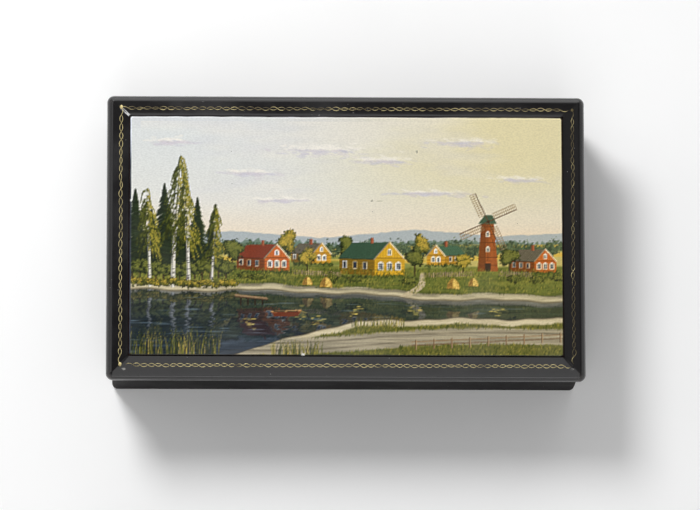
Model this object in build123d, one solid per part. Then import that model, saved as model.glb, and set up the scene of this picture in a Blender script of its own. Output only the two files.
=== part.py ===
from build123d import *
import math
import os

# A rectangular papier-mache lacquer box with a hinged, moulded lid.
# Millimetres, +Z up, +X along the length, the hinge at +Y.
# The origin is the middle of the foot, on the surface that the box stands on.

# Outside sizes
LID_LENGTH = 166.0
LID_DEPTH = 100.0
BODY_HEIGHT = 31.0
OVERHANG = 2.0
RIM_CORNER = 2.4
BODY_CORNER = 2.0
FOOT_ROUND = 0.8

# Body
WALL = 4.0
BOTTOM = 3.0
LINER = 1.5
LIP_HEIGHT = 2.0
LIP_ROUND = 0.5
BACK_LINER_DROP = 0.5

# Gaps between the lid and the body
SEAT_GAP = 0.1
LIP_SIDE_GAP = 0.3
LIP_TOP_GAP = 0.5

# Lid moulding, from the rim inwards
FRAME_WIDTH = 7.6
RIM_WIDEST = 1.5
RIM_ROUND = 0.6
OVOLO = 3.3
BAND_SLOPE = 15.0
CAVETTO_WIDTH = 2.0
CAVETTO_END_SLOPE = 23.0

# Lid board and picture panel
LID_BOARD = 2.5
PANEL_GAP = 0.4
PANEL_PROUD = 0.4
PANEL_EDGE_ROUND = 0.4
PANEL_CORNER = 0.8

# Hinge
HINGE_LENGTH = 96.0
KNUCKLES = 7
KNUCKLE_GAP = 0.2
BARREL = 1.25
BARREL_GAP = 0.15
AXIS_BEHIND_WALL = 0.3
LEAF = 0.6
LEAF_INSET = 0.8
MORTISE_GAP = 0.05
PIN = 0.6
PIN_FIT = 0.04
PIN_HEAD = 0.95
PIN_HEAD_THICKNESS = 0.4
PIN_END_PLAY = 0.05
NAILS = 5
NAIL = 0.4
NAIL_LENGTH = 3.0
NAIL_HEAD = 0.75
NAIL_HEAD_THICKNESS = 0.25
NAIL_FIT = 0.03
NAIL_END_DISTANCE = 7.0

# Derived sizes
body_length = LID_LENGTH - 2 * OVERHANG
body_depth = LID_DEPTH - 2 * OVERHANG
inner_length = body_length - 2 * WALL
inner_depth = body_depth - 2 * WALL
lid_z = BODY_HEIGHT + SEAT_GAP
land = OVERHANG + WALL - LIP_SIDE_GAP
board_low = LIP_HEIGHT - SEAT_GAP + LIP_TOP_GAP
board_top = board_low + LID_BOARD
axis_y = body_depth / 2 + AXIS_BEHIND_WALL
axis_z = BODY_HEIGHT + SEAT_GAP / 2
groove = BARREL + BARREL_GAP
groove_half = HINGE_LENGTH / 2 + PIN_END_PLAY + PIN_HEAD_THICKNESS + BARREL_GAP
leaf_inner_y = inner_depth / 2 + LEAF_INSET
leaf_outer_y = axis_y - groove
nail_y = (leaf_inner_y + leaf_outer_y) / 2

# Points of the moulding, as distance in from the rim and height above the lid's underside
band_slope = math.radians(BAND_SLOPE)
cavetto_slope = math.radians(CAVETTO_END_SLOPE)
ovolo_end = (
    OVOLO * (1 - math.sin(band_slope)),
    RIM_WIDEST + OVOLO * math.cos(band_slope),
)
band_end_in = FRAME_WIDTH - CAVETTO_WIDTH
band_end = (
    band_end_in,
    ovolo_end[1] + (band_end_in - ovolo_end[0]) * math.tan(band_slope),
)
cavetto = CAVETTO_WIDTH / (math.sin(cavetto_slope) - math.sin(band_slope))
frame_top = band_end[1] + cavetto * (math.cos(band_slope) - math.cos(cavetto_slope))
panel_top = frame_top + PANEL_PROUD


def block(x, y, z):
    """A box from its (low, high) pairs."""
    size = (x[1] - x[0], y[1] - y[0], z[1] - z[0])
    centre = (sum(x) / 2, sum(y) / 2, sum(z) / 2)
    return Pos(*centre) * Box(*size)


def rod(radius, length, x, y, z):
    """A cylinder along X with its middle at x, y, z."""
    return Pos(x, y, z) * Rot(0, 90, 0) * Cylinder(radius, length)


def moulding_section():
    """The moulding cut across, rim at zero and the picture at FRAME_WIDTH."""
    ovolo_half = (band_slope + math.pi / 2) / 2
    ovolo_middle = (
        OVOLO * (1 - math.sin(ovolo_half)),
        RIM_WIDEST + OVOLO * math.cos(ovolo_half),
    )
    cavetto_half = (band_slope + cavetto_slope) / 2
    cavetto_middle = (
        band_end[0] + cavetto * (math.sin(cavetto_half) - math.sin(band_slope)),
        band_end[1] + cavetto * (math.cos(band_slope) - math.cos(cavetto_half)),
    )
    rim_middle = RIM_ROUND * (1 - math.sqrt(0.5))
    outline = [
        Line((RIM_ROUND, 0), (land, 0)),
        Line((land, 0), (land, board_top)),
        Line((land, board_top), (FRAME_WIDTH, board_top)),
        Line((FRAME_WIDTH, board_top), (FRAME_WIDTH, frame_top)),
        ThreePointArc((FRAME_WIDTH, frame_top), cavetto_middle, band_end),
        Line(band_end, ovolo_end),
        ThreePointArc(ovolo_end, ovolo_middle, (0, RIM_WIDEST)),
        Line((0, RIM_WIDEST), (0, RIM_ROUND)),
        ThreePointArc((0, RIM_ROUND), (rim_middle, rim_middle), (RIM_ROUND, 0)),
    ]
    return make_face(outline)


def moulding(length, depth):
    """A mitred moulding along X for the side of the lid that faces -Y."""
    section = moulding_section()
    corner_part = section & Pos(RIM_CORNER / 2, 0) * Rectangle(RIM_CORNER, 2 * panel_top)
    straight = length / 2 - RIM_CORNER
    across = Plane(origin=(0, -depth / 2, lid_z), x_dir=(0, 1, 0), z_dir=(1, 0, 0))
    mitre = Plane(
        origin=(length / 2, -depth / 2, 0), x_dir=(0, 0, 1), z_dir=(-1, -1, 0)
    )
    bar = split(extrude(across * section, straight), mitre, keep=Keep.TOP)
    corner_axis = Axis((straight, -depth / 2 + RIM_CORNER, 0), (0, 0, 1))
    corner = revolve(across.offset(straight) * corner_part, corner_axis, 45)
    half = bar + corner
    return half + mirror(half, Plane.YZ)


def knuckle_spans(first):
    """Every second knuckle as its (low, high) pair along X, from the one numbered first."""
    width = (HINGE_LENGTH - (KNUCKLES - 1) * KNUCKLE_GAP) / KNUCKLES
    spans = []
    for number in range(first, KNUCKLES, 2):
        low = -HINGE_LENGTH / 2 + number * (width + KNUCKLE_GAP)
        spans.append((low, low + width))
    return spans


def nail_places():
    """Positions along X of the nails in one leaf."""
    span = HINGE_LENGTH - 2 * NAIL_END_DISTANCE
    return [-span / 2 + number * span / (NAILS - 1) for number in range(NAILS)]


def nails(face_z, inwards, gap):
    """The nails of one leaf, heads flush with face_z, shanks along inwards (+1 up, -1 down)."""
    pieces = []
    for x in nail_places():
        head = Pos(x, nail_y, face_z + inwards * NAIL_HEAD_THICKNESS / 2) * Cylinder(
            NAIL_HEAD + gap, NAIL_HEAD_THICKNESS
        )
        shank = Pos(x, nail_y, face_z + inwards * NAIL_LENGTH / 2) * Cylinder(
            NAIL + gap, NAIL_LENGTH
        )
        pieces.append(head + shank)
    return pieces


def hinge_leaf(face_z, inwards, first):
    """A leaf with its knuckles, its open face at face_z and its thickness along inwards."""
    z = sorted((face_z, face_z + inwards * LEAF))
    leaf = block((-HINGE_LENGTH / 2, HINGE_LENGTH / 2), (leaf_inner_y, leaf_outer_y), z)
    for span in knuckle_spans(first):
        width = span[1] - span[0]
        leaf += block(span, (leaf_outer_y, axis_y), z)
        leaf += rod(BARREL, width, sum(span) / 2, axis_y, axis_z)
    leaf -= rod(PIN + PIN_FIT, HINGE_LENGTH, 0, axis_y, axis_z)
    for nail in nails(face_z, inwards, NAIL_FIT):
        leaf -= nail
    return leaf


def hinge_room(face_z, inwards):
    """The space that one leaf and the barrel take out of the wall or the moulding."""
    z = sorted((face_z, face_z + inwards * LEAF))
    mortise = block((-groove_half, groove_half), (leaf_inner_y - MORTISE_GAP, axis_y), z)
    return mortise + rod(groove, 2 * groove_half, 0, axis_y, axis_z)


# Body: a wound ring with rounded corners, let in at the back for the hinge
ring = extrude(RectangleRounded(body_length, body_depth, BODY_CORNER), BODY_HEIGHT)
ring = fillet(ring.edges().group_by(Axis.Z)[0], FOOT_ROUND)
ring -= block(
    (-inner_length / 2, inner_length / 2),
    (-inner_depth / 2, inner_depth / 2),
    (0, BODY_HEIGHT),
)
body_walls = ring - hinge_room(BODY_HEIGHT, -1)
for nail in nails(BODY_HEIGHT, -1, NAIL_FIT):
    body_walls -= nail

bottom_board = block(
    (-inner_length / 2, inner_length / 2), (-inner_depth / 2, inner_depth / 2), (0, BOTTOM)
)

# Liners: the front and side strips stand above the walls, the back one stays below the hinge
lip_top = BODY_HEIGHT + LIP_HEIGHT
front_y = (-inner_depth / 2, -inner_depth / 2 + LINER)
back_y = (inner_depth / 2 - LINER, inner_depth / 2)
side_x = (inner_length / 2 - LINER, inner_length / 2)
liner_front = block((-inner_length / 2, inner_length / 2), front_y, (BOTTOM, lip_top))
liner_front = fillet(liner_front.edges().group_by(Axis.Z)[-1], LIP_ROUND)
liner_right = block(side_x, (front_y[1], back_y[0]), (BOTTOM, lip_top))
liner_right = fillet(liner_right.edges().group_by(Axis.Z)[-1].filter_by(Axis.Y), LIP_ROUND)
liner_left = mirror(liner_right, Plane.YZ)
liner_back = block(
    (-inner_length / 2, inner_length / 2), back_y, (BOTTOM, BODY_HEIGHT - BACK_LINER_DROP)
)

# Lid: four mitred mouldings, the board in their rebate and the picture panel on the board
frame_front = moulding(LID_LENGTH, LID_DEPTH)
frame_right = Rot(0, 0, 90) * moulding(LID_DEPTH, LID_LENGTH)
frame_left = mirror(frame_right, Plane.YZ)
frame_back = mirror(frame_front, Plane.XZ)
frame_back -= hinge_room(lid_z, 1)
frame_back -= block(
    (-groove_half, groove_half), (axis_y, LID_DEPTH / 2), (BODY_HEIGHT, axis_z + groove)
)
for nail in nails(lid_z, 1, NAIL_FIT):
    frame_back -= nail

board_x = LID_LENGTH / 2 - land
board_y = LID_DEPTH / 2 - land
lid_board = block(
    (-board_x, board_x), (-board_y, board_y), (lid_z + board_low, lid_z + board_top)
)
panel_length = LID_LENGTH - 2 * (FRAME_WIDTH + PANEL_GAP)
panel_depth = LID_DEPTH - 2 * (FRAME_WIDTH + PANEL_GAP)
picture_panel = extrude(
    Pos(0, 0, lid_z + board_top) * RectangleRounded(panel_length, panel_depth, PANEL_CORNER),
    panel_top - board_top,
)
picture_panel = fillet(picture_panel.edges().group_by(Axis.Z)[-1], PANEL_EDGE_ROUND)

# Hinge: the body leaf has the end knuckles and keeps the pin
hinge_body_leaf = hinge_leaf(BODY_HEIGHT, -1, 0)
hinge_lid_leaf = hinge_leaf(lid_z, 1, 1)
pin_length = HINGE_LENGTH + 2 * PIN_END_PLAY
hinge_pin = rod(PIN, pin_length, 0, axis_y, axis_z)
for side in (-1, 1):
    head_x = side * (pin_length + PIN_HEAD_THICKNESS) / 2
    hinge_pin += rod(PIN_HEAD, PIN_HEAD_THICKNESS, head_x, axis_y, axis_z)

nodes = {
    "body_walls": body_walls,
    "bottom_board": bottom_board,
    "liner_front": liner_front,
    "liner_back": liner_back,
    "liner_left": liner_left,
    "liner_right": liner_right,
    "frame_front": frame_front,
    "frame_back": frame_back,
    "frame_left": frame_left,
    "frame_right": frame_right,
    "lid_board": lid_board,
    "picture_panel": picture_panel,
    "hinge_body_leaf": hinge_body_leaf,
    "hinge_lid_leaf": hinge_lid_leaf,
    "hinge_pin": hinge_pin,
    "hinge_body_nails": Compound(nails(BODY_HEIGHT, -1, 0)),
    "hinge_lid_nails": Compound(nails(lid_z, 1, 0)),
}
os.makedirs("parts", exist_ok=True)
for name, shape in nodes.items():
    export_step(shape, f"parts/{name}.step")
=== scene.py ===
"""Papier-mache lacquer box with a hinged, painted lid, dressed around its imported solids."""
import math

import bpy
import numpy as np
from mathutils import Matrix, Vector


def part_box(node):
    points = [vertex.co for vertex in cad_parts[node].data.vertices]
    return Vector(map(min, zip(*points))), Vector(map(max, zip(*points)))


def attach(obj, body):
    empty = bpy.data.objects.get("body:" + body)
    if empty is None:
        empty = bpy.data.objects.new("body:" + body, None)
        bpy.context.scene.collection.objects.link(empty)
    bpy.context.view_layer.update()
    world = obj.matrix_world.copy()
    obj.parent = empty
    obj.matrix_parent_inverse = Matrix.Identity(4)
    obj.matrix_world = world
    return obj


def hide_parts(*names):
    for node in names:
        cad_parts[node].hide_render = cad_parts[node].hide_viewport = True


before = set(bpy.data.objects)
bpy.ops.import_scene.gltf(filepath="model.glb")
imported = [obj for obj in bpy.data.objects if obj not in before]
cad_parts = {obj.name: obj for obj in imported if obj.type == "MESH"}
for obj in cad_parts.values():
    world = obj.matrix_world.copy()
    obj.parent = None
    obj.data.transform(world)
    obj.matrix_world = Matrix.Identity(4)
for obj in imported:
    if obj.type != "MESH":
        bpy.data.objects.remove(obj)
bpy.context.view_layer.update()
bpy.ops.object.select_all(action="DESELECT")
MM = 0.001


# Body walls
# A ring of paper wound round a block, soaked in oil and baked until it is as hard as wood.
# It is ground, primed and lacquered black; the finish is duller than the lid's and rubbed at the edges.
LACQUER_BLACK = (0.0048, 0.0044, 0.0049, 1)
LACQUER_BROWN = (0.0080, 0.0070, 0.0075, 1)
RUBBED_BLACK = (0.034, 0.028, 0.025, 1)
DUST = (0.30, 0.29, 0.27, 1)
BODY_ROUGH, BODY_SHINE = (0.70, 0.82), 0.16
FOOT_WEAR = (2.4, 0.4)
BODY_CORNERS = ((79.0, 81.0), (46.0, 48.0))


def start_look(name):
    """A new material, called a look here, and its shader."""
    look = bpy.data.materials.new(name)
    look.use_nodes = True
    return look, look.node_tree.nodes["Principled BSDF"]


def feed(owner, node, inputs):
    """Gives each input of a look's or the world's node a value or another node's output."""
    for name, value in inputs.items():
        if isinstance(value, bpy.types.NodeSocket):
            owner.node_tree.links.new(value, node.inputs[name])
        else:
            node.inputs[name].default_value = value


def add(owner, kind, inputs=None, **settings):
    """A new node with these inputs and settings."""
    made = owner.node_tree.nodes.new("ShaderNode" + kind)
    for name, value in settings.items():
        setattr(made, name, value)
    feed(owner, made, inputs or {})
    return made


def fade(owner, value, low, high, start=0.0, end=1.0):
    """A smooth change from start to end while value goes from low to high."""
    inputs = {"Value": value, "From Min": low, "From Max": high, "To Min": start, "To Max": end}
    return add(owner, "MapRange", inputs, interpolation_type="SMOOTHSTEP").outputs["Result"]


def reckon(look, operation, first, *others):
    """Values put together one after another."""
    for other in others:
        first = add(look, "Math", {0: first, 1: other}, operation=operation).outputs["Value"]
    return first


def lay_over(look, share, under, over):
    """One colour over another, by share."""
    return add(look, "Mix", {0: share, 6: under, 7: over}, data_type="RGBA").outputs[2]


def place_on(look):
    """The piece's own coordinates, in metres."""
    return add(look, "TexCoord").outputs["Object"]


def axis_of(look, axis):
    """How far along x, y or z a point lies."""
    return add(look, "SeparateXYZ", {"Vector": place_on(look)}).outputs[axis]


def off_middle(look, axis):
    """How far from the middle a point lies on an axis, on either side."""
    return add(look, "Math", {0: axis_of(look, axis)}, operation="ABSOLUTE").outputs["Value"]


def between(look, axis, low, high, start=0.0, end=1.0):
    """A change from start to end between two places on an axis, in millimetres."""
    return fade(look, axis_of(look, axis), low * MM, high * MM, start, end)


def patches(look, size, stretch=(1, 1, 1), detail=2.0):
    """Random patches of about this size in millimetres, drawn out along an axis where stretch is under 1."""
    turned = add(look, "Mapping", {"Vector": place_on(look), "Scale": stretch}).outputs["Vector"]
    noise = add(look, "TexNoise", {"Vector": turned, "Scale": 1 / (size * MM), "Detail": detail})
    return noise.outputs["Fac"]


def blotches(look, size, low, high, start=0.0, end=1.0, stretch=(1, 1, 1), detail=4.0):
    """Random patches with clearer edges, from start to end."""
    return fade(look, patches(look, size, stretch, detail), low, high, start, end)


def specks(look, spacing, radius, share):
    """Small round specks of dust, in a share of the cells of a loose net."""
    cells = add(look, "TexVoronoi", {"Vector": place_on(look), "Scale": 1 / (spacing * MM)})
    near = fade(look, cells.outputs["Distance"], 1.3 * radius / spacing, 0.7 * radius / spacing)
    tint = add(look, "SeparateColor", {"Color": cells.outputs["Color"]}).outputs["Red"]
    return reckon(look, "MULTIPLY", near, reckon(look, "LESS_THAN", tint, share))


def bump(look, height, strength, distance, under=None, **settings):
    """The surface raised by a height pattern, on top of another raised surface where there is one."""
    inputs = {"Height": height, "Strength": strength, "Distance": distance * MM}
    if under is not None:
        inputs["Normal"] = under
    return add(look, "Bump", inputs, **settings).outputs["Normal"]


def black_lacquer(name, rubbed, rough, shine, scuffed=None, rounded=None):
    """Black lacquer with a fine grain, a slow waviness, dust, and rubbing where rubbed says."""
    look, shader = start_look(name)
    rubbing = rubbed(look)
    cloudy = blotches(look, 0.7, 0.35, 0.68, detail=3.0)
    colour = lay_over(look, cloudy, LACQUER_BLACK, LACQUER_BROWN)
    colour = lay_over(look, rubbing, colour, RUBBED_BLACK)
    dust = specks(look, 2.4, 0.12, 0.30)
    if scuffed:
        dust = reckon(look, "MAXIMUM", dust, scuffed(look))
    colour = lay_over(look, dust, colour, DUST)
    smears = blotches(look, 14, 0.35, 0.68, *rough)
    worn = reckon(look, "MULTIPLY", rubbing, 0.30)
    spotted = reckon(look, "MULTIPLY", dust, 0.45)
    dulled = reckon(look, "ADD", smears, worn, spotted)
    waves = bump(look, patches(look, 6), 0.5, 0.05)
    surface = bump(look, patches(look, 0.8), 0.5, 0.006, waves)
    if rounded:
        surface = bump(look, rounded(look), 1.0, 0.12, surface, invert=True)
    feed(look, shader, {"Base Color": colour, "Roughness": dulled, "Normal": surface,
                        "Specular IOR Level": shine})
    return look


def finish(node, look):
    """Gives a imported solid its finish."""
    for held in bpy.data.objects[node].material_slots:
        held.material = look


def near_corners(look, reaches):
    """1 at the four upright corners, 0 away from them."""
    by_axis = [fade(look, off_middle(look, axis), low * MM, high * MM)
               for axis, (low, high) in zip("XY", reaches)]
    return reckon(look, "MULTIPLY", *by_axis)


def rubbed_edges(look):
    """Wear along the foot and down the four corners."""
    near_foot = between(look, "Z", *FOOT_WEAR)
    near_edge = reckon(look, "MAXIMUM", near_foot, near_corners(look, BODY_CORNERS))
    return reckon(look, "MULTIPLY", near_edge, blotches(look, 2.5, 0.42, 0.62))


finish("body_walls", black_lacquer("satin_black_lacquer", rubbed_edges, BODY_ROUGH, BODY_SHINE))


# Bottom board and liners
# Pressed board in the foot of the ring, and thin strips glued round its inside, lacquered red.
# The strips stand above the rim as the lip that guides the lid; their edge is rubbed dark.
RED_LACQUER = (0.300, 0.0215, 0.0105, 1)
RED_SHADE = (0.185, 0.0110, 0.0065, 1)
RED_RUBBED = (0.050, 0.0120, 0.0080, 1)
RED_ROUGH = (0.22, 0.36)
LIP_WEAR = (31.9, 33.0)
BOARD_UNDERSIDE = (2.2, 1.6)
SIDES = ("front", "back", "left", "right")


def red_lacquer(name, bare):
    """Brushed red lacquer, with the dark ground showing where bare says."""
    look, shader = start_look(name)
    strokes = blotches(look, 1.1, 0.34, 0.66, stretch=(0.12, 1, 1), detail=3.0)
    clouds = blotches(look, 22, 0.25, 0.75)
    shade = reckon(look, "MULTIPLY", strokes, clouds)
    worn = bare(look)
    colour = lay_over(look, shade, RED_LACQUER, RED_SHADE)
    colour = lay_over(look, worn, colour, RED_RUBBED)
    dust = specks(look, 3, 0.12, 0.3)
    colour = lay_over(look, dust, colour, DUST)
    dulled = reckon(look, "MULTIPLY", worn, 0.3)
    rough = reckon(look, "ADD", fade(look, clouds, 0, 1, *RED_ROUGH), dulled)
    brushed = bump(look, strokes, 0.5, 0.02)
    feed(look, shader, {"Base Color": colour, "Roughness": rough, "Normal": brushed,
                        "Coat Weight": 0.35, "Coat Roughness": 0.12})
    return look


def rubbed_lip(look):
    broken = blotches(look, 3, 0.36, 0.60)
    return reckon(look, "MULTIPLY", between(look, "Z", *LIP_WEAR), broken)


def black_underside(look):
    return between(look, "Z", *BOARD_UNDERSIDE)


liner_red = red_lacquer("red_lacquer_liners", rubbed_lip)
for side in SIDES:
    finish("liner_" + side, liner_red)
finish("bottom_board", red_lacquer("red_lacquer_floor", black_underside))


# Hinge
# Two brass leaves with rolled knuckles, let into the back wall and the lid and held by small nails.
# A steel pin runs through the knuckles. The brass has dulled to brown in the hollows.
BRASS, BROWN_BRASS, BRASS_ROUGH = (0.62, 0.43, 0.17, 1), (0.27, 0.155, 0.060, 1), (0.26, 0.40)
STEEL, BROWN_STEEL, STEEL_ROUGH = (0.44, 0.43, 0.41, 1), (0.17, 0.13, 0.10, 1), (0.30, 0.42)


def dulled_metal(name, bright, dull, rough):
    """Metal with stains, and fine scratches along its length."""
    look, shader = start_look(name)
    stains = blotches(look, 3.0, 0.40, 0.64, detail=5.0)
    colour = lay_over(look, stains, bright, dull)
    scratches = patches(look, 0.35, (0.08, 1, 1))
    dulled = reckon(look, "MULTIPLY", stains, 0.16)
    dulled = reckon(look, "ADD", fade(look, scratches, 0.3, 0.7, *rough), dulled)
    feed(look, shader, {"Base Color": colour, "Roughness": dulled, "Metallic": 1.0,
                        "Normal": bump(look, scratches, 0.4, 0.01)})
    return look


brass = dulled_metal("dulled_brass", BRASS, BROWN_BRASS, BRASS_ROUGH)
for node in ("hinge_body_leaf", "hinge_lid_leaf"):
    finish(node, brass)
steel = dulled_metal("dulled_steel", STEEL, BROWN_STEEL, STEEL_ROUGH)
for node in ("hinge_pin", "hinge_body_nails", "hinge_lid_nails"):
    finish(node, steel)


# Lid mouldings
# Four mitred mouldings, with a rounded rim, a flat band that slopes outwards and a hollow up to the
# picture. They are glued at the mitres and lacquered black over the joints, which rounds the ridge there.
LID_LENGTH, LID_DEPTH = 166.0, 100.0
LID_ROUGH, LID_SHINE = (0.16, 0.26), 0.5
LID_CORNERS = ((78.5, 82.6), (45.5, 49.6))
LID_UPPER_SIDE = (33.0, 34.0)
MITRE_ROUND = 0.8
MITRE_INNER_HALF = (79.0, 78.2)
# Each scuff: its place and its half length and width.
SCUFFS = ((-76.9, -46.7, 0.80, 0.42), (78.1, -46.3, 0.60, 0.30))


def rubbed_corners(look):
    broken = blotches(look, 1.6, 0.44, 0.64)
    return reckon(look, "MULTIPLY", near_corners(look, LID_CORNERS), broken)


def on_top(look):
    """1 on the upper side of the lid, 0 under it."""
    return between(look, "Z", *LID_UPPER_SIDE)


def front_scuffs(look):
    """Two pale scuffs on top of the front moulding, near its ends."""
    both = 0.0
    for x, y, half_long, half_wide in SCUFFS:
        apart = 0.0
        for axis, middle, half in (("X", x, half_long), ("Y", y, half_wide)):
            off = reckon(look, "SUBTRACT", axis_of(look, axis), middle * MM)
            share = reckon(look, "DIVIDE", off, half * MM)
            apart = reckon(look, "ADD", apart, reckon(look, "POWER", share, 2))
        both = reckon(look, "ADD", both, fade(look, apart, 1.3, 0.5))
    broken = blotches(look, 0.5, 0.38, 0.60, stretch=(0.5, 1, 1), detail=3.0)
    return reckon(look, "MULTIPLY", both, broken, on_top(look))


def rounded_mitres(look):
    """How far the lacquer has rounded the inner half of the mitre ridges, from 0 beside one to 1 on it."""
    out_x, out_y = off_middle(look, "X"), off_middle(look, "Y")
    apart = reckon(look, "SUBTRACT", out_x, out_y, (LID_LENGTH - LID_DEPTH) / 2 * MM)
    off = add(look, "Math", {0: apart}, operation="ABSOLUTE").outputs["Value"]
    near = add(look, "MapRange", {"Value": off, "From Max": MITRE_ROUND * MM, "To Min": 1, "To Max": 0})
    rounding = reckon(look, "POWER", near.outputs["Result"], 2)
    outer, inner = MITRE_INNER_HALF
    inner_half = fade(look, out_x, outer * MM, inner * MM)
    return reckon(look, "MULTIPLY", rounding, inner_half, on_top(look))


lid_black = black_lacquer("polished_black_lacquer", rubbed_corners, LID_ROUGH, LID_SHINE,
                          front_scuffs, rounded_mitres)
for side in SIDES:
    finish("frame_" + side, lid_black)


# Gold braid
# A two-strand twist drawn by hand in gold on the flat band of the mouldings, one S-shaped stroke after
# another, each running over one eye and under the next. It is rubbed in patches and at the left end of the
# front side, its colour darkens towards the right, and along the back side it is darkened as painted shade.
BAND_SLOPE = math.radians(15)
BAND_INSET = 4.65
BAND_HEIGHT = 36.378
EYE_LENGTH = 2.7
BRAID_HALF = 0.43
STROKE_WIDE, STROKE_PROUD = 0.20, 0.045
# The brown gold serves for rubbed places, for the darker right side and, as painted shade, along the back
# side.
GOLD, RUBBED_AND_SHADED_GOLD, FLECK_GOLD = (0.800, 0.676, 0.320, 1), (0.120, 0.094, 0.040, 1), (0.28, 0.21, 0.09, 1)
GOLD_ROUGH = (0.36, 0.55)
# A stroke from end to end: steps in eyes from its middle, heights in half braids, and how full it is.
STROKE_STEPS = (-0.97, -0.80, -0.52, -0.24, -0.08, 0.08, 0.24, 0.52, 0.80, 0.97)
STROKE_HEIGHTS = (0.0, 0.90, 1.35, 1.00, 0.20, -0.20, -1.00, -1.35, -0.90, 0.0)
STROKE_SWELLS = (0.3, 0.8, 1.15, 1.0, 0.8, 0.8, 1.0, 1.15, 0.8, 0.3)
hand = np.random.default_rng(11)


def pick(objects):
    """Selects these objects alone, with the first as the active one."""
    bpy.ops.object.select_all(action="DESELECT")
    for chosen in objects:
        chosen.select_set(True)
    bpy.context.view_layer.objects.active = objects[0]


def resize_mesh(size):
    """Resizes the active mesh about the origin and stays in edit mode."""
    bpy.ops.object.mode_set(mode="EDIT")
    bpy.ops.mesh.select_all(action="SELECT")
    bpy.ops.transform.resize(value=size, center_override=(0, 0, 0))


def gold_stroke():
    """One S-shaped stroke, thin at its ends and full over the eyes, lying flat round the origin."""
    curve = bpy.data.curves.new("gold_stroke", "CURVE")
    curve.dimensions = "3D"
    curve.bevel_depth = STROKE_WIDE / 2 * MM
    curve.bevel_resolution = 0
    curve.resolution_u = 3
    curve.use_fill_caps = True
    path = curve.splines.new("NURBS")
    path.points.add(len(STROKE_STEPS) - 1)
    for point, step, height, swell in zip(path.points, STROKE_STEPS, STROKE_HEIGHTS, STROKE_SWELLS):
        point.co = (step * EYE_LENGTH * MM, height * BRAID_HALF * MM, 0, 1)
        point.radius = swell
    path.order_u = 4
    path.use_endpoint_u = True
    drawn = bpy.data.objects.new("gold_stroke", curve)
    bpy.context.collection.objects.link(drawn)
    pick([drawn])
    bpy.ops.object.convert(target="MESH")
    resize_mesh((1, 1, STROKE_PROUD / (STROKE_WIDE / 2)))
    bpy.ops.object.mode_set(mode="OBJECT")
    return bpy.context.object


def gold_dab(half_long, half_wide):
    """A drop of gold where a side of the braid ends, flat and a little pinched."""
    bpy.ops.object.select_all(action="DESELECT")
    bpy.ops.mesh.primitive_uv_sphere_add(segments=14, ring_count=6, radius=1)
    resize_mesh((half_long * MM, half_wide * MM, STROKE_PROUD * MM))
    bpy.ops.transform.vertex_random(offset=0.06 * MM, seed=3)
    bpy.ops.object.mode_set(mode="OBJECT")
    return bpy.context.object


def gold_paint():
    """Gold powder in varnish: pale where whole, brown where rubbed and towards the right, and brown along the
    back as painted shade.
    """
    look, shader = start_look("gold_paint")
    # The braid's colour darkens along the right side, more towards its front end.
    on_right = between(look, "X", 76.6, 77.6, 0.0, 0.29)
    at_front_end = between(look, "Y", 0.0, -40.0, 1.0, 1.4)
    # Painted shade: the braid's colour is darkened along the back side.
    painted_shade_on_back = between(look, "Y", 44.3, 44.9, 0.0, 0.19)
    on_front = between(look, "Y", -44.6, -44.9, 0.0, 0.28)
    at_left_end = between(look, "X", -69.0, -73.0)
    darker_right = reckon(look, "MULTIPLY", on_right, at_front_end)
    front_wear = reckon(look, "MULTIPLY", on_front, at_left_end)
    wear_and_shade = reckon(look, "ADD", patches(look, 5, detail=3.0), darker_right, painted_shade_on_back, front_wear)
    colour = lay_over(look, fade(look, wear_and_shade, 0.50, 0.80), GOLD, RUBBED_AND_SHADED_GOLD)
    fleck = blotches(look, 0.35, 0.40, 0.62, detail=2.0)
    colour = lay_over(look, reckon(look, "MULTIPLY", fleck, 0.35), colour, FLECK_GOLD)
    feed(look, shader, {"Base Color": colour, "Roughness": fade(look, fleck, 0, 1, *GOLD_ROUGH),
                        "Normal": bump(look, patches(look, 0.25), 0.5, 0.01), "Metallic": 0.35})
    return look


stroke = gold_stroke()
gold = gold_paint()
# Each side: its length, the lid's size across it, its turn, its eyes, how far it starts and stops short of
# the corners, and how far it strays inwards.
braid_sides = {
    "front": (LID_LENGTH, LID_DEPTH, 0, 61, 2.2, 0.4, 0.0),
    "right": (LID_DEPTH, LID_LENGTH, 90, 33, 0.8, 0.3, -0.4),
    "back": (LID_LENGTH, LID_DEPTH, 180, 57, 1.0, -0.2, 0.3),
    "left": (LID_DEPTH, LID_LENGTH, 270, 31, -0.1, 0.2, 0.25),
}
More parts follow.
